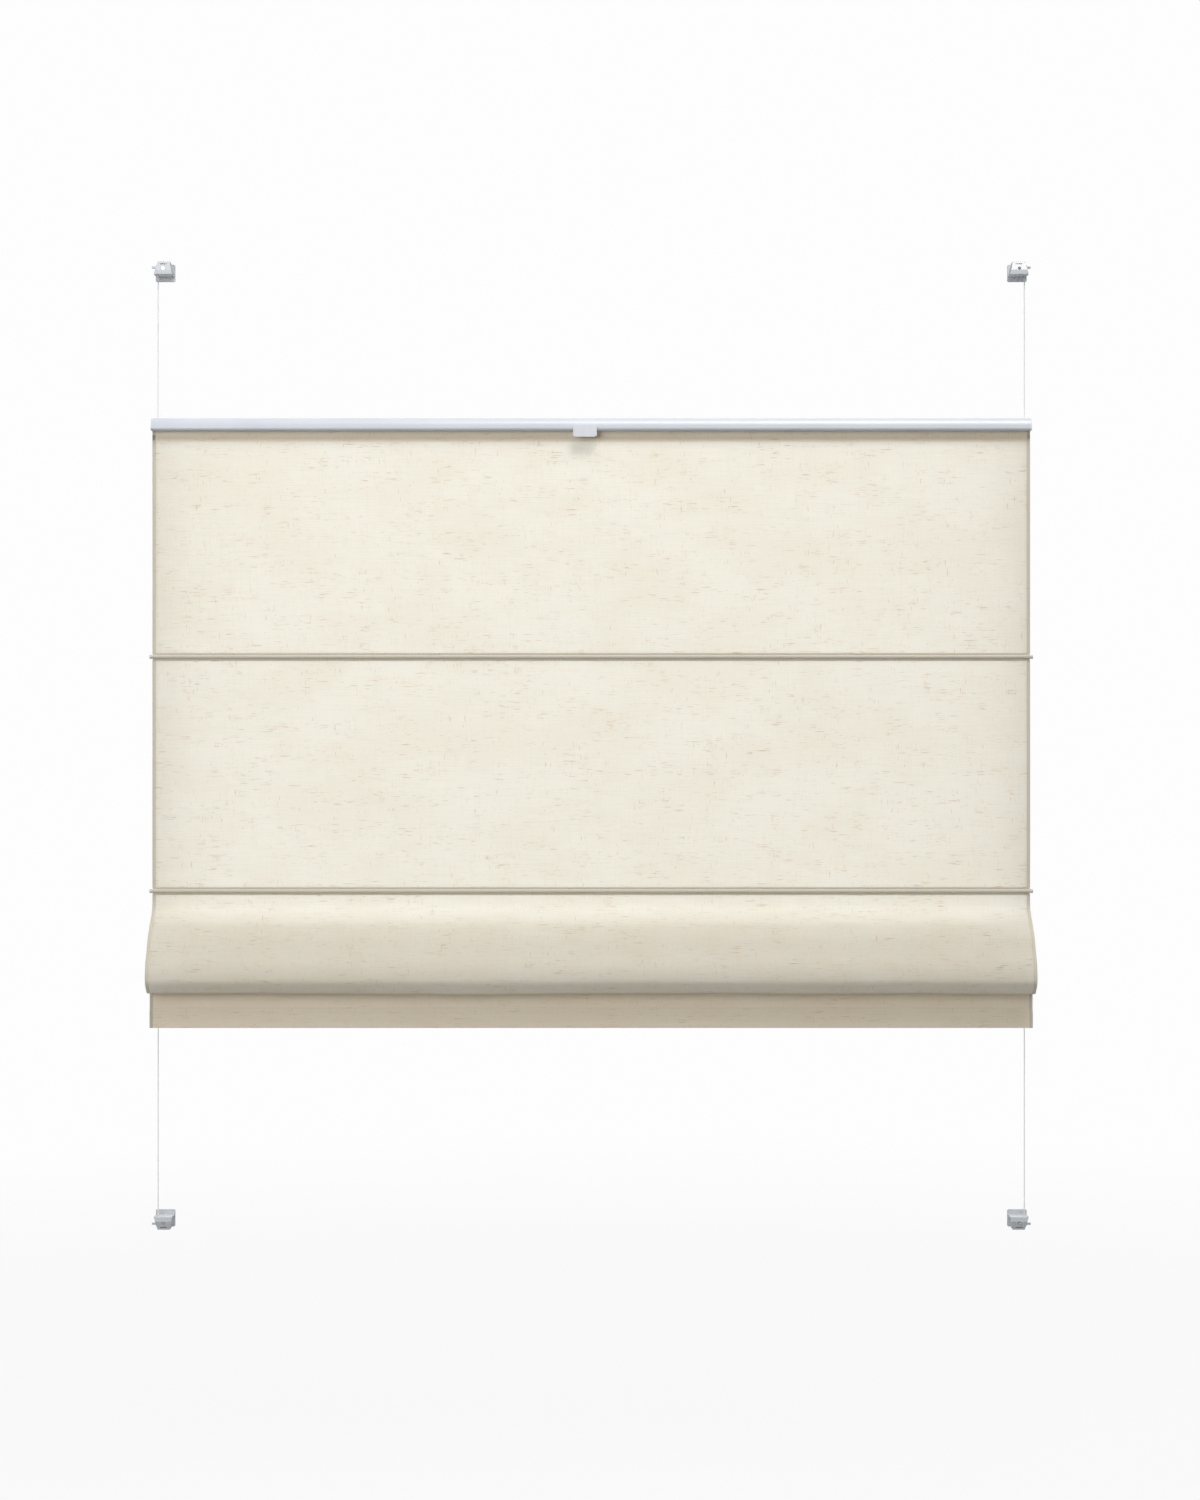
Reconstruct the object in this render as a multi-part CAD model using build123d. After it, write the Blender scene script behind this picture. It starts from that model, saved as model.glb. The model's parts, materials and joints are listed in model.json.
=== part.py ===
from build123d import *
import math
import os

os.makedirs("parts", exist_ok=True)

# A roman blind that is clamped to a window sash and runs on two taut cords.
# Millimetres. X is across the window, -Y faces the room, +Z is up. The origin is on the
# front plane of the sash, at its top edge, on the centre line of the blind.

# Overall sizes
blind_width = 1000.0
sash_height = 1094.0
rail_drop = 175.0
first_pleat = 257.0
second_pleat = 266.5
gathered_pleat = 44.5
skirt_length = 110.0

# Distances in front of the sash
cord_stand_off = 10.0
fabric_stand_off = 17.0

# Fabric, rods and cord
fabric_thickness = 1.0
fabric_inset = 0.5
rod_diameter = 3.0
rod_tip_wall = 0.8
rod_tip_length = 3.0
rod_overhang = 1.0
rod_end_gap = 0.5
keder_diameter = 3.0
cord_diameter = 1.2
sewn_clearance = 0.1
rod_clearance = 0.1

# Gathered fold below the second rod
fold_bulge = 50.5
fold_depth = 113.5
fold_back_gap = 1.1
fold_tuck = 12.5
fold_top_radius = 16.0
fold_front_radius = 40.0
fold_tuck_radius = 6.0
fold_bottom_radius = 8.0
fold_back_radius = 30.0
neck_radius = 2.0
fold_front_gap = 11.0
# Where the fold turns, as shares of its depth, and of its bulge for the slope
leave_share = 0.18
slope_share = 0.435
slope_bulge_share = 0.6
full_share = 0.75
back_share = 0.56
cloth_split = 22.0

# Rails
rail_wall = 1.4
rail_height = 14.0
rail_back_gap = 5.0
top_rail_depth = 22.0
top_rail_nose = 5.5
nose_height = 3.5
keder_height = 6.5
lower_rail_depth = 27.8
lower_rail_round = 3.0
channel_wall = 1.1
channel_clearance = 0.4
slot_clearance = 0.4
end_cap_thickness = 2.0
plug_length = 11.0
plug_clearance = 0.15
cord_inset = 6.0
cord_to_clamp_middle = 7.0
bush_radius = 1.9
bush_flange_radius = 2.8
bush_flange_height = 0.8
bush_clearance = 0.1
cord_clearance = 0.25

# Grips
grip_width = 27.0
grip_height = 14.0
grip_overlap = 6.0
grip_thickness = 2.4
grip_offset = -7.0
grip_corner = 3.0
grip_foot_thickness = 1.2
grip_foot_length = 7.0
grip_flare = 1.0

# Hem bar
bar_thickness = 2.0
bar_height = 18.0
bar_end_gap = 4.0
bar_tip_length = 5.0
bar_clearance = 0.3

# Cord guides behind the rods
guide_wall = 1.0
guide_width = 7.0
guide_ring_height = 3.0
guide_ring_wall = 1.1
guide_ring_clearance = 0.8
guide_clearance = 0.2
guide_half_angle = 65.0

# Sash clamps
sash_lip = 18.0
plate_width = 22.0
plate_thickness = 2.5
plate_height = 16.5
plate_rise = 3.0
plate_corner = 1.5
ear_length = 4.6
ear_height = 2.2
hook_thickness = 1.2
hook_width = 7.0
hook_leg = 10.0
hook_tab_drop = 7.5
hook_seat = 0.3
hook_clearance = 0.3
tab_stand_off = 9.0
holder_depth = 20.0
holder_height = 15.4
holder_bottom_width = 21.0
holder_top_width = 13.6
holder_below_edge = 11.0
holder_chamfer_start = 5.4
holder_slope = 5.0
holder_wall = 1.8
screw_diameter = 2.5
screw_head_diameter = 3.6
screw_head_height = 1.6
screw_tip_gap = 1.0
screw_below_edge = 1.5
thread_clearance = 0.05
bead_diameter = 3.6
bead_height = 4.0
bead_floor = 3.0
bead_clearance = 0.3

# Worked-out places
rail_top = -rail_drop
rail_bottom = rail_top - rail_height
keder_z = rail_bottom + keder_height
rod_1_z = rail_bottom - first_pleat
rod_2_z = rod_1_z - second_pleat
rod_3_z = rod_2_z - gathered_pleat
hem_z = rod_3_z - skirt_length
profile_half = blind_width / 2 - end_cap_thickness
fabric_half = blind_width / 2 - fabric_inset
cord_x = blind_width / 2 - cord_inset
cord_y = -cord_stand_off
rod_y = -fabric_stand_off
cord_radius = cord_diameter / 2
rod_radius = rod_diameter / 2
half_fabric = fabric_thickness / 2
tunnel_radius = rod_radius + sewn_clearance
tunnel_outer = tunnel_radius + fabric_thickness
tunnel_middle = tunnel_radius + half_fabric
rod_tip_radius = rod_radius + rod_tip_wall
keder_ring = keder_diameter / 2 + rod_clearance
keder_outer = keder_ring + fabric_thickness
lower_front = -(rail_back_gap + lower_rail_depth)
lower_top = rod_3_z + rail_height / 2
lower_bottom = rod_3_z - rail_height / 2
rod_3_y = lower_front + tunnel_outer + channel_clearance + rail_wall / 2
skirt_y = lower_front - rail_wall
fold_back_y = skirt_y - fabric_thickness - fold_back_gap
clamp_x = cord_x - cord_to_clamp_middle


def save(name, shape):
    shape.label = name
    export_step(shape, f"parts/{name}.step")


def along_x(section, start, end):
    return Pos(start, 0, 0) * extrude(Plane.YZ * section, amount=end - start)


def centred(section, half_length):
    return along_x(section, -half_length, half_length)


def upright(x, y, bottom, top, radius):
    return Pos(x, y, (bottom + top) / 2) * Cylinder(radius, top - bottom)


def block(x_range, y_range, z_range):
    sizes = [high - low for low, high in (x_range, y_range, z_range)]
    middles = [(high + low) / 2 for low, high in (x_range, y_range, z_range)]
    return Pos(*middles) * Box(*sizes)


def disc(y, z, radius):
    return Pos(y, z) * Circle(radius)


def ring(y, z, inner, outer):
    return disc(y, z, outer) - disc(y, z, inner)


def strip(y, top, bottom):
    return Pos(y, (top + bottom) / 2) * Rectangle(fabric_thickness, top - bottom)


# ---------------------------------------------------------------- fabric

def gathered_fold():
    """The cloth bulges into the room below the second rod and returns to the lower rail."""
    def at(ahead, below):
        return (rod_y - ahead, rod_2_z - below)

    back_ahead = rod_y - fold_back_y
    neck_z = rod_3_z + half_fabric
    flat_bottom = fold_bulge - fold_tuck - back_ahead - neck_radius
    bottom_radius = min(fold_bottom_radius, flat_bottom / 2)
    slope_ahead = max(slope_bulge_share * fold_bulge, back_ahead + fold_front_gap)
    return FilletPolyline(
        at(0, tunnel_middle),
        at(0, leave_share * fold_depth),
        at(slope_ahead, slope_share * fold_depth),
        at(fold_bulge, full_share * fold_depth),
        at(fold_bulge, fold_depth - fold_tuck),
        at(fold_bulge - fold_tuck, fold_depth),
        at(back_ahead + neck_radius, fold_depth),
        at(back_ahead, back_share * fold_depth),
        (fold_back_y, neck_z),
        (rod_3_y - tunnel_radius, neck_z),
        radius=[
            fold_top_radius,
            fold_front_radius,
            fold_front_radius,
            fold_tuck_radius,
            bottom_radius,
            bottom_radius,
            fold_back_radius,
            neck_radius,
        ],
    )


def skirt_neck():
    neck_z = rod_3_z - half_fabric
    return FilletPolyline(
        (rod_3_y - tunnel_radius, neck_z),
        (skirt_y - half_fabric, neck_z),
        (skirt_y - half_fabric, hem_z + bar_height),
        radius=[0.8 * fabric_thickness],
    )


hem_inner_width = bar_thickness + 2 * bar_clearance
hem_inner_height = bar_height + 2 * bar_clearance
hem_outer_height = hem_inner_height + 2 * fabric_thickness


def hem_outline():
    outline = SlotOverall(hem_outer_height, hem_inner_width + 2 * fabric_thickness, rotation=90)
    return Pos(skirt_y - half_fabric, hem_z + hem_outer_height / 2) * outline


def hem_pocket():
    inner = SlotOverall(hem_inner_height, hem_inner_width, rotation=90)
    return hem_outline() - Pos(skirt_y - half_fabric, hem_z + hem_outer_height / 2) * inner


def zone(y_range, z_range):
    sizes = [high - low for low, high in (y_range, z_range)]
    middles = [(high + low) / 2 for low, high in (y_range, z_range)]
    return Pos(*middles) * Rectangle(*sizes)


def within(section, area):
    return section - (section - area)


def tunnel(y, z):
    return ring(y, z, tunnel_radius, tunnel_outer)


def cloth(section, rail_ends=None):
    """One stretch of the sheet, full width but for its ends inside a rail."""
    body = centred(section, fabric_half)
    if rail_ends:
        for side in (-1, 1):
            ends = sorted((side * (profile_half - plug_clearance), side * blind_width / 2))
            body -= block(ends, *rail_ends)
    return body


def fabric_sections():
    """The sheet is cut across where its pleats fold, so that each stretch goes with one body."""
    fold = gathered_fold()
    print("gathered fold length", round(fold.length, 1))
    room = (-rail_drop, 0)
    first_quarter = (rail_bottom - rod_1_z) / 4
    second_quarter = (rod_1_z - rod_2_z) / 4
    folded = trace(fold, line_width=fabric_thickness)
    front_top = zone(room, (rod_2_z - cloth_split, rod_2_z))
    back_top = zone(
        (fold_back_y - 1.6 * fabric_thickness, 0),
        (rod_3_z - cloth_split, rod_3_z + 1.5 * fabric_thickness),
    )
    keder = ring(rod_y, keder_z, keder_ring, keder_outer)
    keder += strip(rod_y, keder_z - keder_ring - half_fabric, rail_bottom - first_quarter)
    rod_1_cloth = strip(rod_y, rod_1_z + first_quarter, rod_1_z + tunnel_middle)
    rod_1_cloth += tunnel(rod_y, rod_1_z)
    rod_1_cloth += strip(rod_y, rod_1_z - tunnel_middle, rod_1_z - second_quarter)
    rod_2_cloth = strip(rod_y, rod_2_z + second_quarter, rod_2_z + tunnel_middle)
    rod_2_cloth += tunnel(rod_y, rod_2_z)
    rod_2_cloth += within(folded, front_top)
    skirt = trace(skirt_neck(), line_width=fabric_thickness)
    skirt += within(folded, back_top)
    skirt -= disc(rod_3_y, rod_3_z, tunnel_radius)
    skirt += tunnel(rod_3_y, rod_3_z)
    skirt -= hem_outline()
    skirt += hem_pocket()
    in_top = ((-rail_back_gap - top_rail_depth, 0), (rail_bottom, rail_top))
    in_lower = ((lower_front, 0), (lower_bottom, lower_top))
    return {
        "cloth_at_top_rail": cloth(keder, in_top),
        "cloth_pleat_1": cloth(strip(rod_y, rail_bottom - first_quarter, rod_1_z + first_quarter)),
        "cloth_at_rod_1": cloth(rod_1_cloth),
        "cloth_pleat_2": cloth(strip(rod_y, rod_1_z - second_quarter, rod_2_z + second_quarter)),
        "cloth_at_rod_2": cloth(rod_2_cloth),
        "cloth_pleat_3": cloth(folded - front_top - back_top),
        "cloth_skirt": cloth(skirt, in_lower),
    }


# ---------------------------------------------------------------- rods

def rod(y, z, radius, half_length):
    return Pos(0, y, z) * Rot(0, 90, 0) * Cylinder(radius, 2 * half_length)


def rod_tip(z, side):
    """A push-on tip just outside the side hem of the cloth."""
    middle = side * (fabric_half + plug_clearance + rod_tip_length / 2)
    body = Cylinder(rod_tip_radius, rod_tip_length)
    body = fillet(body.edges().filter_by(GeomType.CIRCLE), 0.8 * rod_tip_wall)
    bore_depth = rod_overhang - plug_clearance + rod_clearance
    bore = Pos(0, 0, -side * (rod_tip_length - bore_depth) / 2)
    body -= bore * Cylinder(rod_radius + rod_clearance / 2, bore_depth)
    return Pos(middle, rod_y, z) * Rot(0, 90, 0) * body


def cord_guide(z, side):
    """A saddle that hugs the back of the sewn tunnel, with an eye round the cord."""
    saddle_inner = tunnel_outer + guide_clearance
    saddle_outer = saddle_inner + guide_wall
    saddle = ring(rod_y, z, saddle_inner, saddle_outer)
    reach = 3 * saddle_outer
    angle = math.radians(guide_half_angle)
    wedge = Polyline(
        (rod_y, z),
        (rod_y + reach * math.cos(angle), z + reach * math.sin(angle)),
        (rod_y + reach, z),
        (rod_y + reach * math.cos(angle), z - reach * math.sin(angle)),
        close=True,
    )
    saddle = saddle & make_face(wedge)
    x = side * cord_x
    body = along_x(saddle, x - guide_width / 2, x + guide_width / 2)
    eye_inner = cord_radius + guide_ring_clearance
    eye_outer = eye_inner + guide_ring_wall
    low, high = z - guide_ring_height / 2, z + guide_ring_height / 2
    body += upright(x, cord_y, low, high, eye_outer)
    neck = (rod_y + saddle_inner + guide_wall / 2, cord_y)
    body += block((x - eye_outer, x + eye_outer), neck, (low, high))
    return body - upright(x, cord_y, low - saddle_outer, high + saddle_outer, eye_inner)


# ---------------------------------------------------------------- rails

def top_outline():
    """A flat back and top, and a front that leans out to a rounded nose low down."""
    back = -rail_back_gap
    nose = back - top_rail_depth
    shoulder = nose + top_rail_nose
    low = rail_bottom + nose_height
    edges = Line((back, rail_bottom), (back, rail_top))
    edges += Line((back, rail_top), (shoulder, rail_top))
    edges += TangentArc((nose, low), (shoulder, rail_top), tangent=(0, 1))
    edges += ThreePointArc((nose, low), (nose + 0.4, rail_bottom + 0.9), (nose + 1.4, rail_bottom))
    edges += Line((nose + 1.4, rail_bottom), (back, rail_bottom))
    return make_face(edges)


def lower_outline():
    middle_y = -rail_back_gap - lower_rail_depth / 2
    outline = RectangleRounded(lower_rail_depth, rail_height, lower_rail_round)
    return Pos(middle_y, rod_3_z) * outline


def top_rail_section():
    outline = top_outline()
    pocket = keder_outer + channel_clearance
    hollow = offset(outline, -rail_wall) - disc(rod_y, keder_z, pocket + channel_wall)
    slot = half_fabric + slot_clearance
    jaw = 2 * (slot + channel_wall)
    hollow -= Pos(rod_y, (keder_z + rail_bottom) / 2) * Rectangle(jaw, keder_height)
    mouth = Pos(rod_y, (keder_z + rail_bottom) / 2) * Rectangle(2 * slot, keder_height)
    return outline - hollow - disc(rod_y, keder_z, pocket) - mouth


def lower_rail_section():
    outline = lower_outline()
    pocket = tunnel_outer + channel_clearance
    hollow = offset(outline, -rail_wall) - disc(rod_3_y, rod_3_z, pocket + channel_wall)
    slot = 2 * (fabric_thickness + slot_clearance)
    reach = rod_3_y - lower_front
    mouth = Pos(lower_front + reach / 2, rod_3_z) * Rectangle(reach, slot)
    return outline - hollow - disc(rod_3_y, rod_3_z, pocket) - mouth


def rail(section, top, bottom):
    body = centred(section, profile_half)
    for side in (-1, 1):
        hole = bush_radius + bush_clearance
        body -= upright(side * cord_x, cord_y, bottom - 1, top + 1, hole)
    return body


def end_cap(outline, top, bottom, front, side):
    """A cover plate with a plug that fills the rear chamber and holds the cord bush."""
    start, end = sorted((side * profile_half, side * blind_width / 2))
    cap = along_x(outline, start, end)
    inner, outer = sorted((side * (profile_half - plug_length), side * profile_half))
    plug = along_x(offset(outline, -rail_wall - plug_clearance), inner, outer)
    cap += plug & block((inner, outer), (front, 0), (bottom, top))
    hole = bush_radius + bush_clearance
    return cap - upright(side * cord_x, cord_y, bottom - 1, top + 1, hole)


def cord_bush(top, bottom, side):
    x = side * cord_x
    bush = upright(x, cord_y, bottom, top, bush_radius)
    bush += upright(x, cord_y, top, top + bush_flange_height, bush_flange_radius)
    bore = cord_radius + cord_clearance
    return bush - upright(x, cord_y, bottom - 1, top + bush_flange_height + 1, bore)


def grip(front, bottom):
    """A finger tab that clips over the front bottom edge of a rail."""
    top = bottom + grip_overlap
    tip = top - grip_height
    inner = front - plug_clearance
    foot_top = bottom - plug_clearance
    foot_bottom = foot_top - grip_foot_thickness
    outer = inner - grip_thickness
    section = make_face(
        Polyline(
            (inner, top),
            (outer + grip_flare, top),
            (outer, bottom),
            (outer - grip_flare, tip),
            (inner - grip_flare, tip),
            (inner + grip_flare, foot_bottom),
            (inner + grip_foot_length, foot_bottom),
            (inner + grip_foot_length, foot_top),
            (inner, foot_top),
            close=True,
        )
    )
    low = grip_offset - grip_width / 2
    body = along_x(section, low, low + grip_width)
    face = RectangleRounded(grip_width, grip_height, grip_corner)
    mask = extrude(Plane.XZ * face, amount=top_rail_depth, both=True)
    return body & (Pos(grip_offset, front, (top + tip) / 2) * mask)


# ---------------------------------------------------------------- hem bar

def hem_bar_section():
    middle = hem_z + fabric_thickness + bar_clearance + bar_height / 2
    slot = SlotOverall(bar_height, bar_thickness, rotation=90)
    return Pos(skirt_y - half_fabric, middle) * slot


def hem_bar():
    return centred(hem_bar_section(), fabric_half - bar_end_gap - bar_tip_length)


def hem_bar_tip(side):
    inner = fabric_half - bar_end_gap - bar_tip_length
    start, end = sorted((side * inner, side * (inner + bar_tip_length)))
    return along_x(hem_bar_section(), start, end)


# ---------------------------------------------------------------- sash clamp
# Each clamp is drawn for the top left corner with x = 0 at its middle and the window's
# outer side at -x, then mirrored to the other corners.

cavity_half = hook_width / 2 + hook_clearance
cavity_front = -(holder_depth - holder_wall - screw_head_height)
cavity_top = hook_seat + hook_thickness + hook_clearance
cavity_bottom = -hook_tab_drop - hook_clearance
bead_x = -cord_to_clamp_middle
bead_bottom = -holder_below_edge + bead_floor


def clamp_plate():
    """The front jaw, with a window for the hook's strap and an ear on its outer side."""
    height = plate_height + plate_rise
    face = RectangleRounded(plate_width, height, plate_corner)
    plate = extrude(Plane.XZ * face, amount=plate_thickness)
    plate = Pos(0, 0, plate_rise - height / 2) * plate
    ear_start = -plate_width / 2 - ear_length
    half_ear = ear_height / 2
    plate += block((ear_start, -plate_width / 2 + 2), (-plate_thickness, 0), (-half_ear, half_ear))
    window = (-plate_thickness - 1, 1)
    return plate - block((-cavity_half, cavity_half), window, (0, cavity_top))


def hook():
    """One bent strip: a tab in the holder, a strap over the sash edge and a rear leg."""
    top = hook_seat + hook_thickness
    back = sash_lip + hook_thickness
    half = hook_width / 2
    strap = block((-half, half), (-tab_stand_off, back), (hook_seat, top))
    leg = block((-half, half), (sash_lip, back), (-hook_leg, top))
    tab_back = -tab_stand_off + hook_thickness
    tab = block((-half, half), (-tab_stand_off, tab_back), (-hook_tab_drop, top))
    hole = Rot(90, 0, 0) * Cylinder(screw_diameter / 2 + thread_clearance, 4 * hook_thickness)
    hole = Pos(0, -tab_stand_off, -screw_below_edge - screw_diameter) * hole
    bent = strap + leg + tab
    corners = bent.edges().filter_by(Axis.X).filter_by(
        lambda edge: abs(edge.center().Z - top) < 0.01 and edge.length > hook_width - 0.1
    )
    return fillet(corners, 0.8 * hook_thickness) - hole


def screw_axis():
    return -screw_below_edge - screw_diameter


def along_y(radius, front, back, x=0.0, z=0.0):
    return Pos(x, (front + back) / 2, z) * Rot(90, 0, 0) * Cylinder(radius, back - front)


def holder():
    """The cord holder: a tapered housing round the hook's tab, with the bead's pocket."""
    top = holder_height - holder_below_edge
    bottom = -holder_below_edge
    front = -holder_depth
    side = make_face(
        Polyline(
            (-plate_thickness, bottom),
            (front, bottom),
            (front, bottom + holder_chamfer_start),
            (front + holder_slope, top),
            (-plate_thickness, top),
            close=True,
        )
    )
    body = along_x(side, -holder_bottom_width / 2, holder_bottom_width / 2)
    low, high = holder_bottom_width / 2, holder_top_width / 2
    face = make_face(
        Polyline((-low, bottom), (low, bottom), (high, top), (-high, top), close=True)
    )
    body &= extrude(Plane.XZ * face, amount=2 * holder_depth)
    outer = body.edges().group_by(Axis.Y)[0] + body.edges().filter_by(Axis.X).sort_by(Axis.Y)[1:2]
    body = fillet(outer, 0.6)
    body -= block(
        (-cavity_half, cavity_half),
        (cavity_front, -plate_thickness),
        (cavity_bottom, cavity_top),
    )
    z = screw_axis()
    body -= along_y(screw_head_diameter / 2 + thread_clearance, front - 1, front + screw_head_height, z=z)
    body -= along_y(screw_diameter / 2 + 2 * thread_clearance, front, cavity_front + 1, z=z)
    pocket = bead_diameter / 2 + bead_clearance
    body -= upright(bead_x, cord_y, bead_bottom, bead_bottom + bead_height + bead_clearance, pocket)
    body -= block(
        (-holder_bottom_width, bead_x),
        (cord_y - pocket, cord_y + pocket),
        (bead_bottom, bead_bottom + bead_height + bead_clearance),
    )
    return body - upright(bead_x, cord_y, bottom - 1, bead_bottom + 1, cord_radius + cord_clearance)


def clamp_screw():
    z = screw_axis()
    front = -holder_depth
    seat = front + screw_head_height
    head = along_y(screw_head_diameter / 2, front + 0.3, seat, z=z)
    head -= block((-0.35, 0.35), (front, front + 0.9), (z - 1.3, z + 1.3))
    head -= block((-1.3, 1.3), (front, front + 0.9), (z - 0.35, z + 0.35))
    return head + along_y(screw_diameter / 2, seat, -plate_thickness - screw_tip_gap, z=z)


def bead():
    body = upright(bead_x, cord_y, bead_bottom, bead_bottom + bead_height, bead_diameter / 2)
    return fillet(body.edges().sort_by(Axis.Z)[-1], 0.9)


def place(shape, level, side):
    if side == "right":
        shape = mirror(shape, about=Plane.YZ)
    if level == "bottom":
        shape = mirror(shape, about=Plane.XY)
    sign = -1 if side == "left" else 1
    return Pos(sign * clamp_x, 0, 0 if level == "top" else -sash_height) * shape


# ---------------------------------------------------------------- the parts

clamp_pieces = {
    "clamp_plate": clamp_plate(),
    "clamp_hook": hook(),
    "cord_holder": holder(),
    "clamp_screw": clamp_screw(),
    "cord_bead": bead(),
}
for level in ("top", "bottom"):
    for side in ("left", "right"):
        for name, shape in clamp_pieces.items():
            save(f"{name}_{level}_{side}", place(shape, level, side))

cord_top = bead_bottom
cord_bottom = -sash_height - bead_bottom
plug_front_top = rod_y + keder_outer + channel_clearance + channel_wall + plug_clearance
plug_front_lower = rod_3_y + tunnel_outer + channel_clearance + channel_wall + plug_clearance
for name, side in (("left", -1), ("right", 1)):
    save(f"tension_cord_{name}", upright(side * cord_x, cord_y, cord_bottom, cord_top, cord_radius))
    cap = end_cap(top_outline(), rail_top, rail_bottom, plug_front_top, side)
    save(f"top_rail_cap_{name}", cap)
    save(f"top_rail_bush_{name}", cord_bush(rail_top, rail_bottom, side))
    cap = end_cap(lower_outline(), lower_top, lower_bottom, plug_front_lower, side)
    save(f"lower_rail_cap_{name}", cap)
    save(f"lower_rail_bush_{name}", cord_bush(lower_top, lower_bottom, side))
    for number, z in ((1, rod_1_z), (2, rod_2_z)):
        save(f"rod_{number}_tip_{name}", rod_tip(z, side))
        save(f"rod_{number}_guide_{name}", cord_guide(z, side))
    save(f"hem_bar_tip_{name}", hem_bar_tip(side))

save("top_rail", rail(top_rail_section(), rail_top, rail_bottom))
save("lower_rail", rail(lower_rail_section(), lower_top, lower_bottom))
save("top_grip", grip(-rail_back_gap - top_rail_depth, rail_bottom))
save("keder_rod", rod(rod_y, keder_z, keder_diameter / 2, profile_half - rod_end_gap))
for name, shape in fabric_sections().items():
    save(name, shape)
save("rod_1", rod(rod_y, rod_1_z, rod_radius, fabric_half + rod_overhang))
save("rod_2", rod(rod_y, rod_2_z, rod_radius, fabric_half + rod_overhang))
save("rod_3", rod(rod_3_y, rod_3_z, rod_radius, profile_half - rod_end_gap))
save("hem_bar", hem_bar())
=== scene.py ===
import json
import math

import bpy
import numpy as np
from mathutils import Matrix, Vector


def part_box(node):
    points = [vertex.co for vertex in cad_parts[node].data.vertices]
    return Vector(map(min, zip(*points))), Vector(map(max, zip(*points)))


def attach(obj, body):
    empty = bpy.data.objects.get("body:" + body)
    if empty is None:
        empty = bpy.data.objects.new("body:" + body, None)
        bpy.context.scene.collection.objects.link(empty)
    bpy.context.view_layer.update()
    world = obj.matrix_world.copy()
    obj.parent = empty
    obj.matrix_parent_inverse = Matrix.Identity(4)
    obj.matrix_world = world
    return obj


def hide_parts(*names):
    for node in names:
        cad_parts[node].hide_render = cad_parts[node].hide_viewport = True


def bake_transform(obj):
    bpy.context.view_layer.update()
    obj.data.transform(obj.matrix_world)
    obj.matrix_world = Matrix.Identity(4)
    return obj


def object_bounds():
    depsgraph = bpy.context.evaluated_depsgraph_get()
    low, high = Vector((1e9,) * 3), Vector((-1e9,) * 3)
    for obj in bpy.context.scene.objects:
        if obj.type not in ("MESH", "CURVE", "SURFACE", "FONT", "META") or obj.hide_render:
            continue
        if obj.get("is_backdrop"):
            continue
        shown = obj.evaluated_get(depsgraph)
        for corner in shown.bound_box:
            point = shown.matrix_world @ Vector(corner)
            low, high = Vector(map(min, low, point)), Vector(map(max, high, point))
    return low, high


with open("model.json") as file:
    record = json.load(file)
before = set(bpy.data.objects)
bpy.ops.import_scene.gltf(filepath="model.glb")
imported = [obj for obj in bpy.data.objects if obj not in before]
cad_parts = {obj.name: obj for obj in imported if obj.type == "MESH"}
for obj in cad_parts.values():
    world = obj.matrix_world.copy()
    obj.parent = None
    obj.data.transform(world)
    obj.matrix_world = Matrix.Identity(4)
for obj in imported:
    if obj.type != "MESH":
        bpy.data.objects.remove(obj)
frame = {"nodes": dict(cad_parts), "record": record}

# A roman blind in cream linen on two taut cords. Metres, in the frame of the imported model:
# X across the window, -Y faces the room, +Z up, origin on the sash front at its top edge.

cad_low, cad_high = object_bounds()
scene = bpy.context.scene
nodes = frame["nodes"]


def middle(node):
    low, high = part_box(node)
    return (low + high) / 2


# ---------------------------------------------------------------- camera

CAMERA_AT = (0.010, -3.0, -0.552)
camera_data = bpy.data.cameras.new("camera")
camera_data.lens = 62.9
camera_data.sensor_width = 36.0
camera = bpy.data.objects.new("camera", camera_data)
camera.location = CAMERA_AT
camera.rotation_euler = (math.radians(90), 0, 0)
scene.collection.objects.link(camera)
scene.camera = camera

# ---------------------------------------------------------------- places from the frame

panel_low, panel_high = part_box("cloth_pleat_2")
EDGE_X = panel_high.x
WIDTH = 2 * EDGE_X
PANEL_Y = (panel_low.y + panel_high.y) / 2
RAIL_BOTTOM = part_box("top_rail")[0].z
KEDER = middle("keder_rod")
ROD_1 = middle("rod_1")
ROD_2 = middle("rod_2")
ROD_3 = middle("rod_3")
CREASE_1 = middle("cloth_pleat_1").z
CREASE_2 = middle("cloth_pleat_2").z
FOLD_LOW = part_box("cloth_pleat_3")[0]
CAD_CLOTH = 0.001
HALF_CAD_CLOTH = CAD_CLOTH / 2

# Thickness of the cloth, width of its turned side hems, and how far its back thins out at a join
CLOTH = 0.0006
HALF = CLOTH / 2
SIDE_HEM = 0.0042
SCARF = 0.0012
SCARF_THICKNESS = 0.06

# The sewn tunnels: radius to the middle of the cloth, and the doubled cloth above and below
TUNNEL = 0.0021
STUB = 0.0018
SEAM_HALF = TUNNEL + HALF + STUB

# The top edge: radius of the cloth's turn round the keder, height of the doubled band below the rail,
# and where the first panel starts to wave
KEDER_TURN = 0.0019
BAND = 0.0100
FLAT_BELOW_RAIL = 0.012

# How far the skirt and the fold's back hang in front of the lower rail, how far the back leans out
# at its foot, and how far in front of the third rod both go into the rail's channel
SKIRT_OFF = 0.0019
FOLD_OFF = 0.0035
FOLD_LEAN = 0.002
THROAT_OFF = 0.0020

# The deep hem: where it starts along the skirt, its gap behind the skirt, and where its edge ends
HEM_STARTS = 0.020
HEM_GAP = 0.0001
HEM_EDGE_BELOW_RAIL = 0.006

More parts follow.
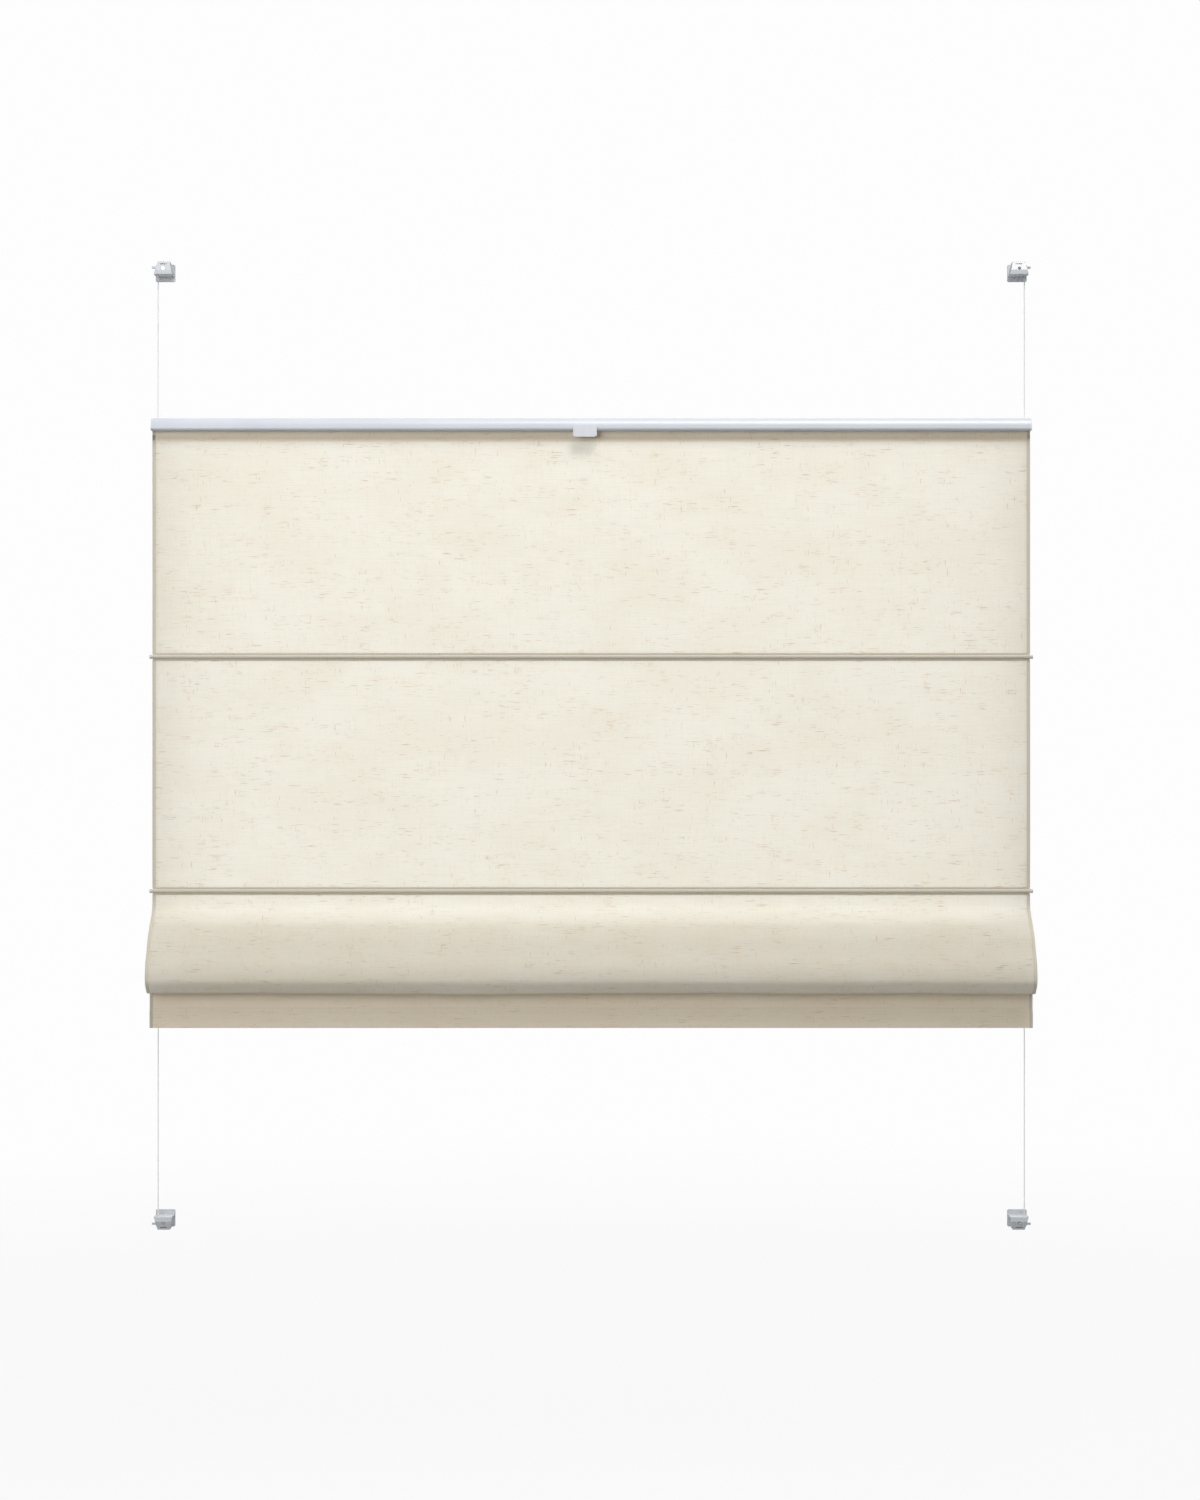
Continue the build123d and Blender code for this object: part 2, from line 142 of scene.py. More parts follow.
# The pocket round the hem bar: gap all round, gap at its top, and how far above and below its top the
# cloth draws in from the skirt to the bar
BAR_GAP = 0.00015
BAR_TOP_GAP = 0.0006
POCKET_NECK, POCKET_SHOULDER = 0.004, 0.003

# The lines of stitches: above the band's edge, beyond a tunnel as a share of its stub, above the pocket
BAND_STITCH = 0.0022
SEAM_STITCH = 0.62
HEM_STITCH = 0.0030

# How far the panels and the fold wave, and how close the points along the cloth are
PANEL_WAVE = 0.0011
FOLD_WAVE = 0.0010
PANEL_STEP = 0.006
FOLD_STEP = 0.0014

# ---------------------------------------------------------------- node helpers


class Shader:
    """A short way to write node materials: every call adds a node and returns its output."""

    def __init__(self, name):
        self.material = bpy.data.materials.new(name)
        self.material.use_nodes = True
        self.tree = self.material.node_tree
        self.tree.nodes.clear()
        self.output = self.tree.nodes.new("ShaderNodeOutputMaterial")

    def set(self, socket, value):
        if isinstance(value, bpy.types.NodeSocket):
            self.tree.links.new(value, socket)
        elif socket.type == "RGBA":
            socket.default_value = (*value, 1.0)
        else:
            socket.default_value = value

    def add(self, kind, inputs=None, out=0, **settings):
        node = self.tree.nodes.new(kind)
        for key, value in settings.items():
            setattr(node, key, value)
        for key, value in (inputs or {}).items():
            self.set(node.inputs[key], value)
        return node.outputs[out]

    def math(self, operation, a, b=0.0, clamp=False):
        return self.add("ShaderNodeMath", {0: a, 1: b}, operation=operation, use_clamp=clamp)

    def place(self, source, scale, shift=(0, 0, 0)):
        return self.add("ShaderNodeMapping", {"Vector": source, "Scale": scale, "Location": shift})

    def noise(self, vector, scale=1.0, detail=2.0, roughness=0.5, distortion=0.0):
        inputs = {"Vector": vector, "Scale": scale, "Detail": detail, "Roughness": roughness}
        return self.add("ShaderNodeTexNoise", {**inputs, "Distortion": distortion})

    def between(self, value, low, high, to_low=0.0, to_high=1.0):
        inputs = {"Value": value, "From Min": low, "From Max": high, "To Min": to_low, "To Max": to_high}
        return self.add("ShaderNodeMapRange", inputs, interpolation_type="SMOOTHSTEP")

    def waves(self, vector, distortion):
        inputs = {"Vector": vector, "Scale": 1.0, "Distortion": distortion}
        return self.add("ShaderNodeTexWave", inputs, out=1, bands_direction="DIAGONAL")

    def mix(self, share, a, b):
        node = self.tree.nodes.new("ShaderNodeMix")
        node.data_type = "RGBA"
        for socket, value in ((node.inputs[0], share), (node.inputs[6], a), (node.inputs[7], b)):
            self.set(socket, value)
        return node.outputs[2]

    def bump(self, height, strength, distance, normal=None):
        inputs = {"Height": height, "Strength": strength, "Distance": distance}
        if normal is not None:
            inputs["Normal"] = normal
        return self.add("ShaderNodeBump", inputs)

    def finish(self, surface):
        self.tree.links.new(surface, self.output.inputs["Surface"])
        return self.material


# ---------------------------------------------------------------- linen

CREAM = (0.865, 0.820, 0.715)
CREAM_DEEP = (0.775, 0.705, 0.570)
CREAM_PALE = (0.905, 0.880, 0.805)
# Painted shade for the turned side hems and rod tunnels: a darker tone that stands in for less light coming
# through the layers
PAINTED_HEM_SHADE = (0.500, 0.450, 0.355)
# Painted warm glow and shade for the doubled band and deep hem: stands in for light held back and bounced
# inside two layers
PAINTED_GLOW_AND_SHADE = (0.920, 0.720, 0.470)
FLAX = (0.560, 0.450, 0.240)
OCHRE = (0.600, 0.340, 0.180)
GLOW = (0.930, 0.930, 0.925)
THREAD_HEIGHT = 0.00022


def linen(name, lit_through, painted_shade_share, painted_shade_colour):
    """Plain-woven linen: threads both ways, thick slubs along the weft and a few along the warp.
    The mappings are in cycles a metre across and along the cloth. lit_through is the share of
    light that the cloth lets through, and painted_shade_share is how far its colour goes to
    painted_shade_colour, a painted shade that stands in for the light that doubled and turned cloth holds
    back."""
    s = Shader(name)
    cloth = s.add("ShaderNodeAttribute", out=1, attribute_name="cloth", attribute_type="GEOMETRY")
    weft = s.noise(s.place(cloth, (90, 2600, 1)), detail=2.0, roughness=0.6)
    warp = s.noise(s.place(cloth, (2600, 90, 1), (7, 3, 0)), detail=2.0, roughness=0.6)
    weft_wide = s.noise(s.place(cloth, (26, 620, 1), (1, 9, 0)), detail=3.0, roughness=0.65)
    warp_wide = s.noise(s.place(cloth, (560, 24, 1), (4, 2, 0)), detail=3.0, roughness=0.65)
    cloudy = s.noise(s.place(cloth, (9, 14, 1)), detail=4.0, roughness=0.6)
    slub = s.noise(s.place(cloth, (64, 860, 1), (11, 5, 0)), detail=1.5, distortion=0.15)
    slub_gate = s.noise(s.place(cloth, (17, 60, 1), (2, 8, 0)), detail=1.0)
    slubs = s.math("MULTIPLY", s.between(slub, 0.625, 0.70), s.between(slub_gate, 0.44, 0.58))
    post = s.noise(s.place(cloth, (860, 96, 1), (3, 12, 0)), detail=1.5, distortion=0.15)
    post_gate = s.noise(s.place(cloth, (60, 17, 1), (5, 1, 0)), detail=1.0)
    posts = s.math("MULTIPLY", s.between(post, 0.65, 0.72), s.between(post_gate, 0.47, 0.60))
    fleck = s.noise(s.place(cloth, (430, 560, 1), (6, 6, 0)), detail=1.0)
    fleck_gate = s.noise(s.place(cloth, (40, 40, 1), (9, 2, 0)), detail=1.0)
    flecks = s.math("MULTIPLY", s.between(fleck, 0.69, 0.76), s.between(fleck_gate, 0.46, 0.60))
    husk = s.mix(s.noise(s.place(cloth, (50, 90, 1), (8, 4, 0)), detail=1.0), FLAX, OCHRE)

    colour = s.mix(s.between(cloudy, 0.35, 0.65, 0.0, 0.55), CREAM, CREAM_PALE)
    colour = s.mix(s.between(weft_wide, 0.42, 0.72, 0.0, 0.40), colour, CREAM_DEEP)
    colour = s.mix(s.between(warp_wide, 0.46, 0.74, 0.0, 0.28), colour, CREAM_DEEP)
    colour = s.mix(s.between(weft, 0.35, 0.75, 0.0, 0.24), colour, CREAM_PALE)
    colour = s.mix(s.between(warp, 0.35, 0.75, 0.0, 0.18), colour, CREAM_DEEP)
    colour = s.mix(s.math("MULTIPLY", slubs, 0.74), colour, husk)
    colour = s.mix(s.math("MULTIPLY", posts, 0.66), colour, husk)
    colour = s.mix(s.math("MULTIPLY", flecks, 0.74), colour, husk)
    # Painted shade: the colour goes part of the way to a darker, warmer tone
    colour = s.mix(painted_shade_share, colour, painted_shade_colour)

    threads = s.math("ADD", weft, warp)
    thick = s.math("ADD", s.math("MULTIPLY", slubs, 0.9), s.math("MULTIPLY", posts, 0.7))
    height = s.math("ADD", threads, s.math("ADD", thick, s.math("MULTIPLY", weft_wide, 0.7)))
    normal = s.bump(height, 0.55, THREAD_HEIGHT)
    inputs = {
        "Base Color": colour,
        "Roughness": s.between(threads, 0.7, 1.3, 0.80, 0.92),
        "Sheen Weight": 0.12,
        "Sheen Roughness": 0.5,
        "Specular IOR Level": 0.2,
        "Normal": normal,
    }
    principled = s.add("ShaderNodeBsdfPrincipled", inputs)
    lit = s.mix(0.5, colour, GLOW)
    through = s.add("ShaderNodeBsdfTranslucent", {"Color": lit, "Normal": normal})
    both = s.add("ShaderNodeMixShader", {0: lit_through, 1: principled, 2: through})
    return s.finish(both)


# Cloth materials in the order of their slots, and those slots
SINGLE, DOUBLED, HEMMED = 0, 1, 2
LINEN = linen("linen", 0.50, 0.0, PAINTED_HEM_SHADE)
# The doubled cloth: painted warm glow and shade in its colour
LINEN_DOUBLED_PAINTED_GLOW = linen("linen_doubled_painted_glow", 0.18, 0.40, PAINTED_GLOW_AND_SHADE)
# Side hems and tunnels: painted shade in their colour
LINEN_HEM_PAINTED_SHADE = linen("linen_side_hem_painted_shade", 0.12, 0.75, PAINTED_HEM_SHADE)

# ---------------------------------------------------------------- hard materials


def hard(name, colour, tint, roughness, grain=900.0, depth=0.00002, edge=0.0003, stretch=(1, 1, 1), **more):
    """Moulded, coated or drawn surface: fine grain in cycles a metre, faint colour change, soft edges."""
    s = Shader(name)
    place = s.add("ShaderNodeTexCoord", out=3)
    fine = s.noise(s.place(place, tuple(grain * k for k in stretch)), detail=3.0)
    broad = s.noise(s.place(place, (14, 14, 14)), detail=3.0)
    handled = s.noise(s.place(place, (160, 160, 160)), detail=4.0, roughness=0.7)
    clouds = s.math("ADD", broad, s.math("MULTIPLY", handled, 0.5))
    rub = s.math("ADD", handled, fine)
    soft_edge = s.add("ShaderNodeBevel", {"Radius": edge}, samples=4)
    inputs = {
        "Base Color": s.mix(s.between(clouds, 0.5, 1.0), colour, tint),
        "Roughness": s.between(rub, 0.7, 1.3, roughness * 0.85, min(1.0, roughness * 1.2)),
        "Normal": s.bump(fine, 0.4, depth, soft_edge),
        **more,
    }
    return s.finish(s.add("ShaderNodeBsdfPrincipled", inputs))


def plastic(name, colour, tint, roughness, grain, **shape):
    more = {"IOR": 1.49, "Specular IOR Level": 0.5}
    return hard(name, colour, tint, roughness, grain, **shape, **more)


WHITE = (0.55, 0.578, 0.622)
WHITE_TINT = (0.525, 0.552, 0.597)
MOULDED = (0.60, 0.62, 0.65)
CLAMP_WHITE = (0.52, 0.54, 0.56)
CLAMP_TINT = (0.50, 0.52, 0.54)
HARD = {
    "rail_aluminium": hard("powder_coat", WHITE, WHITE_TINT, 0.36, 1300.0, 0.00003, 0.0004),
    "cap_plastic": plastic("cap_plastic", (0.60, 0.63, 0.675), WHITE_TINT, 0.42, 700.0),
    "bush_plastic": plastic("bush_plastic", MOULDED, WHITE_TINT, 0.38, 800.0),
    "clamp_plastic": plastic(
        "clamp_plastic", CLAMP_WHITE, CLAMP_TINT, 0.38, 500.0, depth=0.000006, edge=0.0004
    ),
    "grip_plastic": plastic(
        "grip_plastic", MOULDED, WHITE_TINT, 0.22, 400.0, depth=0.00001, edge=0.0005
    ),
    "guide_plastic": plastic("guide_plastic", (0.64, 0.64, 0.62), (0.60, 0.59, 0.56), 0.40, 700.0),
    "tip_plastic": plastic("tip_plastic", (0.58, 0.55, 0.48), (0.52, 0.48, 0.41), 0.45, 900.0),
    "bead_plastic": plastic("bead_plastic", (0.62, 0.63, 0.65), WHITE_TINT, 0.30, 900.0),
    "keder": plastic("keder_cord", (0.62, 0.61, 0.58), (0.55, 0.54, 0.51), 0.55, 900.0),
    "rod_glassfibre": hard(
        "glass_fibre", (0.72, 0.71, 0.63), (0.62, 0.60, 0.50), 0.38, 900.0, 0.00003, 0.0002,
        (0.03, 1, 1),
    ),
    "screw_steel": hard(
        "zinc_screw", (0.62, 0.62, 0.60), (0.48, 0.48, 0.47), 0.28, 1600.0, 0.00002, 0.0002,
        (1, 0.1, 1), Metallic=1.0,
    ),
    "hook_steel": hard(
        "painted_hook", (0.76, 0.77, 0.78), (0.70, 0.71, 0.72), 0.40, 900.0, 0.00003, 0.0003,
        (1, 1, 0.3),
    ),
    "hem_steel": hard(
        "hem_bar_steel", (0.50, 0.51, 0.52), (0.38, 0.39, 0.40), 0.34, 1200.0, 0.00003, 0.0003,
        (0.04, 1, 1), Metallic=0.9,
    ),
}
for part in frame["record"]["subparts"]:
    for place in nodes[part["node"]].material_slots:
        place.material = HARD.get(part["material_slot"], place.material)


# ---------------------------------------------------------------- tension cords

def cord_material():
    """Braided polyester: a fine diagonal lay both ways."""
    s = Shader("braided_cord")
    place = s.add("ShaderNodeTexCoord", out=3)
    left = s.waves(s.place(place, (900, 900, 620)), 0.6)
    right = s.waves(s.place(place, (-900, 900, 620)), 0.6)
    lay = s.math("MAXIMUM", left, right)
    inputs = {
        "Base Color": s.mix(s.between(lay, 0.2, 0.9), (0.58, 0.58, 0.57), (0.80, 0.80, 0.79)),
        "Roughness": s.between(lay, 0.0, 1.0, 0.75, 0.55),
        "Normal": s.bump(lay, 0.6, 0.0001),
    }
    return s.finish(s.add("ShaderNodeBsdfPrincipled", inputs))


CORD_MATERIAL = cord_material()
CORD_DIAMETER = 0.0012
for side in ("left", "right"):
    low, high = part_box(f"tension_cord_{side}")
    x, y = (low.x + high.x) / 2, (low.y + high.y) / 2
    curve = bpy.data.curves.new(f"braided_cord_{side}", "CURVE")
    curve.dimensions = "3D"
    curve.bevel_depth = CORD_DIAMETER / 2
    curve.bevel_resolution = 3
    curve.use_fill_caps = True
    spline = curve.splines.new("NURBS")
    heights = (high.z, (high.z + low.z) / 2, low.z)
    spline.points.add(len(heights) - 1)
    for point, z in zip(spline.points, heights):
        point.co = (x, y, z, 1.0)
    spline.order_u = 3
    spline.use_endpoint_u = True
    spline.resolution_u = 12
    cord = bpy.data.objects.new(f"braided_cord_{side}", curve)
    scene.collection.objects.link(cord)
    curve.materials.append(CORD_MATERIAL)
    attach(cord, "clamps")
    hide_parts(f"tension_cord_{side}")


# ---------------------------------------------------------------- cloth

def lengths(points):
    """Distances between points that follow each other."""
    return np.linalg.norm(np.diff(points, axis=0), axis=1)


def rounded(corners, radii, step=0.0015):
    """Points along a line through corners, with each inner corner rounded to its radius."""
    corners = [np.array(c, float) for c in corners]
    points = [corners[0]]
    for before, corner, after, radius in zip(corners, corners[1:], corners[2:], radii):
        a = (before - corner) / np.linalg.norm(before - corner)
        b = (after - corner) / np.linalg.norm(after - corner)
        half_angle = math.acos(max(-1.0, min(1.0, float(a @ b)))) / 2
        reach = radius / math.tan(half_angle)
        centre = corner + (a + b) / np.linalg.norm(a + b) * radius / math.sin(half_angle)
        start, end = corner + a * reach, corner + b * reach
        turn = math.pi - 2 * half_angle
        count = max(3, int(radius * turn / step))
        u, v = start - centre, end - centre
        for i in range(count + 1):
            t = i / count
            points.append(centre + (u * math.sin((1 - t) * turn) + v * math.sin(t * turn)) / math.sin(turn))
    points.append(corners[-1])
    return np.array(points)


def spread(points, step):
    """The same line with evenly spaced points."""
    steps = lengths(points)
    along = np.concatenate(([0.0], np.cumsum(steps)))
    keep = np.concatenate(([True], steps > 1e-9))
    along, points = along[keep], points[keep]
    count = max(2, int(round(along[-1] / step)))
    at = np.linspace(0, along[-1], count + 1)
    return np.column_stack([np.interp(at, along, points[:, k]) for k in (0, 1)])


def ease(points, times):
    """Rounds off the changes of curvature where arcs and runs meet."""
    points = points.copy()
    for _ in range(times):
        points[1:-1] += 0.25 * (points[:-2] - 2 * points[1:-1] + points[2:])
    return points


def arc(centre, radius, start, end, count):
    """Points on an arc about centre, from start to end in degrees."""
    angles = np.radians(np.linspace(start, end, count))
    return np.column_stack([centre[0] + radius * np.cos(angles), centre[1] + radius * np.sin(angles)])


def columns():
    """Places across the cloth, from one side edge to the other, close together at the side hems."""
    rim = [0.0, 0.00005, 0.00018, 0.0004, 0.0007]
    near = np.array(rim + [0.002, SIDE_HEM - 0.0003, SIDE_HEM, 0.0052, 0.008])
    inner_edge, inner_count = EDGE_X - 0.014, 118
    inner = np.linspace(-inner_edge, inner_edge, inner_count)
    return np.concatenate((-EDGE_X + near, inner, (EDGE_X - near)[::-1]))


COLUMNS = columns()


def drape(x, s, span, amount):
    """How far the cloth stands off its flat line: broad soft waves, none at the two rods."""
    rise = np.sin(np.pi * np.clip((s - span[0]) / (span[1] - span[0]), 0, 1))
    wave = (
        0.50 * np.sin(9.1 * x + 0.6 + 3.0 * s)
        + 0.34 * np.sin(17.3 * x + 2.1 - 5.0 * s)
        + 0.20 * np.sin(31.7 * x + 4.4 + 9.0 * s)
        + 0.10 * np.sin(58.0 * x + 1.3 - 13.0 * s)
    )
    return amount * rise * wave


def thin_from(line, at_start):
    """The line with one more point, a scarf's length from its start or end."""
    end, inner = (line[0], line[1]) if at_start else (line[-1], line[-2])
    share = min(0.5, SCARF / np.linalg.norm(inner - end))
    return np.insert(line, 1 if at_start else -1, end + (inner - end) * share, 0)


def sheet_piece(name, line, s_start, span, amount, doubled=(), ends=(True, True)):
    """A closed sheet of cloth that follows line (y, z points) and spans the blind's width. span and
    amount are the run that waves and how far. ends says whether the cloth stops at its start and
    at its end. Where it doesn't, the back closes in on the front, and the next stretch goes on.
    doubled lists the runs of two layers."""
    if not ends[0]:
        line = thin_from(line, True)
    if not ends[1]:
        line = thin_from(line, False)
    s = s_start + np.concatenate(([0.0], np.cumsum(lengths(line))))
    tangent = np.gradient(line, axis=0)
    tangent /= np.linalg.norm(tangent, axis=1)[:, None]
    normal = np.column_stack((tangent[:, 1], -tangent[:, 0]))

    x = COLUMNS
    from_edge = EDGE_X - np.abs(x)
    in_hem = from_edge < SIDE_HEM - 0.0001
    front = np.full(len(x), HALF)
    back = np.where(in_hem, -HALF - CLOTH, -HALF)
    rim = from_edge < CLOTH
    bulge = np.sqrt(np.clip(1 - (1 - from_edge / CLOTH) ** 2, 0, 1))
    front = np.where(rim, -HALF + CLOTH * bulge, front)
    back = np.where(rim, -HALF - CLOTH * bulge, back)

    across, along = np.meshgrid(x, s)
    waves = drape(across, along, span, amount)
    rows, width = len(s), len(x)

    def face(offset):
        total = waves + offset
        y = line[:, 0][:, None] + normal[:, 0][:, None] * total
        z = line[:, 1][:, None] + normal[:, 1][:, None] * total
        return np.stack([across, y, z], axis=-1).reshape(-1, 3)

    behind = np.repeat(back[None, :], rows, axis=0)
    for row, ended in ((0, ends[0]), (rows - 1, ends[1])):
        if not ended:
            behind[row] = front + (back - front) * SCARF_THICKNESS
    verts = np.concatenate([face(np.repeat(front[None, :], rows, axis=0)), face(behind)])
    coords = np.stack([across, -along, np.zeros_like(across)], axis=-1).reshape(-1, 3)
    coords = np.concatenate([coords, coords])
    count = rows * width

    def at(r, c, side):
        return side * count + r * width + c

    faces, marks = [], []

    # Side hems take the material with painted shade, and doubled runs the one with painted warm glow and
    # shade
    def slot_at(r, c):
        if in_hem[c] and in_hem[c + 1]:
            return HEMMED
        mid = (s[r] + s[r + 1]) / 2
        return DOUBLED if any(a <= mid <= b for a, b in doubled) else SINGLE

    for r in range(rows - 1):
        for c in range(width - 1):
            mark = slot_at(r, c)
            faces.append((at(r, c, 0), at(r + 1, c, 0), at(r + 1, c + 1, 0), at(r, c + 1, 0)))
            faces.append((at(r, c, 1), at(r, c + 1, 1), at(r + 1, c + 1, 1), at(r + 1, c, 1)))
            marks += [mark, mark]
        for c, order in ((0, 1), (width - 1, -1)):
            quad = (at(r, c, 0), at(r, c, 1), at(r + 1, c, 1), at(r + 1, c, 0))
            faces.append(quad[::order])
            marks.append(HEMMED)
    for r, order in ((0, 1), (rows - 1, -1)):
        for c in range(width - 1):
            quad = (at(r, c, 0), at(r, c + 1, 0), at(r, c + 1, 1), at(r, c, 1))
            faces.append(quad[::order])
            marks.append(slot_at(min(r, rows - 2), c))
    return cloth_object(name, verts, faces, marks, coords)


def cloth_object(name, verts, faces, marks, coords):
    """The mesh as a piece of linen: marks are material slots, coords the places in the flat cloth."""
    mesh = bpy.data.meshes.new(name)
    mesh.from_pydata(verts.tolist(), [], [tuple(int(i) for i in f) for f in faces])
    for material in (LINEN, LINEN_DOUBLED_PAINTED_GLOW, LINEN_HEM_PAINTED_SHADE):
        mesh.materials.append(material)
    mesh.polygons.foreach_set("material_index", marks)
    attribute = mesh.attributes.new("cloth", "FLOAT_VECTOR", "POINT")
    attribute.data.foreach_set("vector", coords.astype(np.float32).ravel())
    mesh.validate()
    mesh.update()
    mesh.shade_smooth()
    mesh.set_sharp_from_angle(angle=math.radians(50))
    piece = bpy.data.objects.new(name, mesh)
    scene.collection.objects.link(piece)
    return piece


def seam_piece(name, rod, s_middle):
    """The sewn tunnel round a rod, with the doubled, stitched cloth above and below it."""
    outer, inner = TUNNEL + HALF, TUNNEL - HALF
    neck = math.degrees(math.asin(CLOTH / outer))
    here = (rod.y, rod.z)
    stub_end, stub_root = outer + STUB, outer + STUB * 0.4
    front = np.concatenate([
        [(rod.y - CLOTH, rod.z + stub_end), (rod.y - CLOTH, rod.z + stub_root)],
        arc(here, outer, 90 + neck, 270 - neck, 17),
        [(rod.y - CLOTH, rod.z - stub_root), (rod.y - CLOTH, rod.z - stub_end)],
    ])
    back = front.copy()
    back[:, 0] = 2 * rod.y - back[:, 0]
    outline = np.concatenate([front, back[::-1]])
    hole = arc(here, inner, 90, 450, 25)[:-1]
    x = COLUMNS[3:-3]
    verts, faces, marks, coords = [], [], [], []

    def loop_strip(loop, outward):
        base = len(verts)
        size = len(loop)
        for px in x:
            for y, z in loop:
                verts.append((px, y, z))
                coords.append((px, -(s_middle + rod.z - z), 0.0))
        for c in range(len(x) - 1):
            for i in range(size):
                j = (i + 1) % size
                a, b = base + c * size, base + (c + 1) * size
                quad = (a + i, a + j, b + j, b + i)
                faces.append(quad if outward else quad[::-1])
                # The whole tunnel takes the side-hem material, with its painted shade
                marks.append(HEMMED)
        return base, size

    first, size = loop_strip(outline, True)
    second, hole_size = loop_strip(hole, False)
    angle_of = [math.atan2(z - rod.z, y - rod.y) for y, z in outline]
    hole_angle = [math.atan2(z - rod.z, y - rod.y) for y, z in hole]

    def nearest(angle):
        turns = [abs(math.remainder(a - angle, 2 * math.pi)) for a in hole_angle]
        return turns.index(min(turns))

    for c, flip in ((0, True), (len(x) - 1, False)):
        a, b = first + c * size, second + c * hole_size
        for i in range(size):
            j = (i + 1) % size
            p, q = nearest(angle_of[i]), nearest(angle_of[j])
            ring = [a + i, a + j, b + q] + ([b + p] if p != q else [])
            faces.append(tuple(ring if flip else ring[::-1]))
            marks.append(HEMMED)
    return cloth_object(name, np.array(verts), faces, marks, np.array(coords))


def down(z_top, z_bottom):
    """A straight run down in the plane of the panels."""
    return spread(np.array([(PANEL_Y, z_top), (PANEL_Y, z_bottom)]), PANEL_STEP)


panel_1_end = ROD_1.z + SEAM_HALF
panel_2_start, panel_2_end = ROD_1.z - SEAM_HALF, ROD_2.z + SEAM_HALF

# The cloth wraps the keder inside the rail; its free edge is sewn to it just below the rail.
wrap = np.concatenate([
    [(PANEL_Y + CLOTH, RAIL_BOTTOM - BAND)],
    [(PANEL_Y + CLOTH, RAIL_BOTTOM - BAND * 0.5)],
    [(PANEL_Y + CLOTH, RAIL_BOTTOM)],
    arc((KEDER.y, KEDER.z), KEDER_TURN, -60, 240, 19),
    [(PANEL_Y, RAIL_BOTTOM + 0.001)],
])
top_line = np.concatenate([ease(wrap, 1), down(RAIL_BOTTOM, CREASE_1)])
s_wrap = -RAIL_BOTTOM - lengths(top_line)[: len(wrap)].sum()
band = (s_wrap, -RAIL_BOTTOM + BAND)
span_1 = (-RAIL_BOTTOM + FLAT_BELOW_RAIL, -panel_1_end)
span_2 = (-panel_2_start, -panel_2_end)
line_1, line_2 = down(CREASE_1, panel_1_end), down(CREASE_2, panel_2_end)
line_2_top = down(panel_2_start, CREASE_2)
first_half, second_half = (True, False), (False, True)
cloth_top = sheet_piece(
    "cloth_upper_panel_top", top_line, s_wrap, span_1, PANEL_WAVE, [band], first_half
)
cloth_upper = sheet_piece(
    "cloth_upper_panel", line_1, -CREASE_1, span_1, PANEL_WAVE, (), second_half
)
seam_1 = seam_piece("cloth_seam_1", ROD_1, -ROD_1.z)
cloth_mid_top = sheet_piece(
    "cloth_middle_panel_top", line_2_top, -panel_2_start, span_2, PANEL_WAVE, (), first_half
)
cloth_mid = sheet_piece(
    "cloth_middle_panel", line_2, -CREASE_2, span_2, PANEL_WAVE, (), second_half
)
seam_2 = seam_piece("cloth_seam_2", ROD_2, -ROD_2.z)

# The gathered fold: out into the room, down, round and up again behind to the lower rail.
front_y = FOLD_LOW.y + HALF_CAD_CLOTH
bottom_z = FOLD_LOW.z + HALF_CAD_CLOTH
depth = ROD_2.z - bottom_z
bulge = PANEL_Y - front_y
rail_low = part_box("lower_rail")[0]
skirt_y = rail_low.y - SKIRT_OFF
back_y = rail_low.y - FOLD_OFF
neck_top = ROD_3.z + HALF_CAD_CLOTH
neck_low = ROD_3.z - HALF_CAD_CLOTH
throat_y = ROD_3.y - THROAT_OFF

# Where the fold turns, as shares of its depth (the slope also of its bulge), and how far it tucks in
LEAVE, SLOPE, FULL, BACK = 0.18, 0.435, 0.75, 0.56
SLOPE_BULGE = 0.6
TUCK = 0.0125
fold_corners = [
    (PANEL_Y, ROD_2.z - SEAM_HALF),
    (PANEL_Y, ROD_2.z - LEAVE * depth),
    (PANEL_Y - SLOPE_BULGE * bulge, ROD_2.z - SLOPE * depth),
    (front_y, ROD_2.z - FULL * depth),
    (front_y, bottom_z + TUCK),
    (front_y + TUCK, bottom_z),
    (back_y - FOLD_LEAN, bottom_z),
    (back_y, ROD_2.z - BACK * depth),
    (back_y, neck_top),
    (throat_y, neck_top),
]
fold_radii = [0.016, 0.040, 0.040, 0.006, 0.008, 0.008, 0.030, 0.002]
fold_line = ease(spread(rounded(fold_corners, fold_radii), FOLD_STEP), 8)
lowest = int(np.argmin(fold_line[:, 1]))
fold_steps = lengths(fold_line)
s_fold = -ROD_2.z + SEAM_HALF
s_lowest = s_fold + fold_steps[:lowest].sum()
s_fold_end = s_fold + fold_steps.sum()
span_fold = (s_fold, s_fold_end)
fold_front = sheet_piece(
    "cloth_fold_front", fold_line[: lowest + 1], s_fold, span_fold, FOLD_WAVE, (), first_half
)
fold_back = sheet_piece(
    "cloth_fold_back", fold_line[lowest:], s_lowest, span_fold, FOLD_WAVE, (), second_half
)

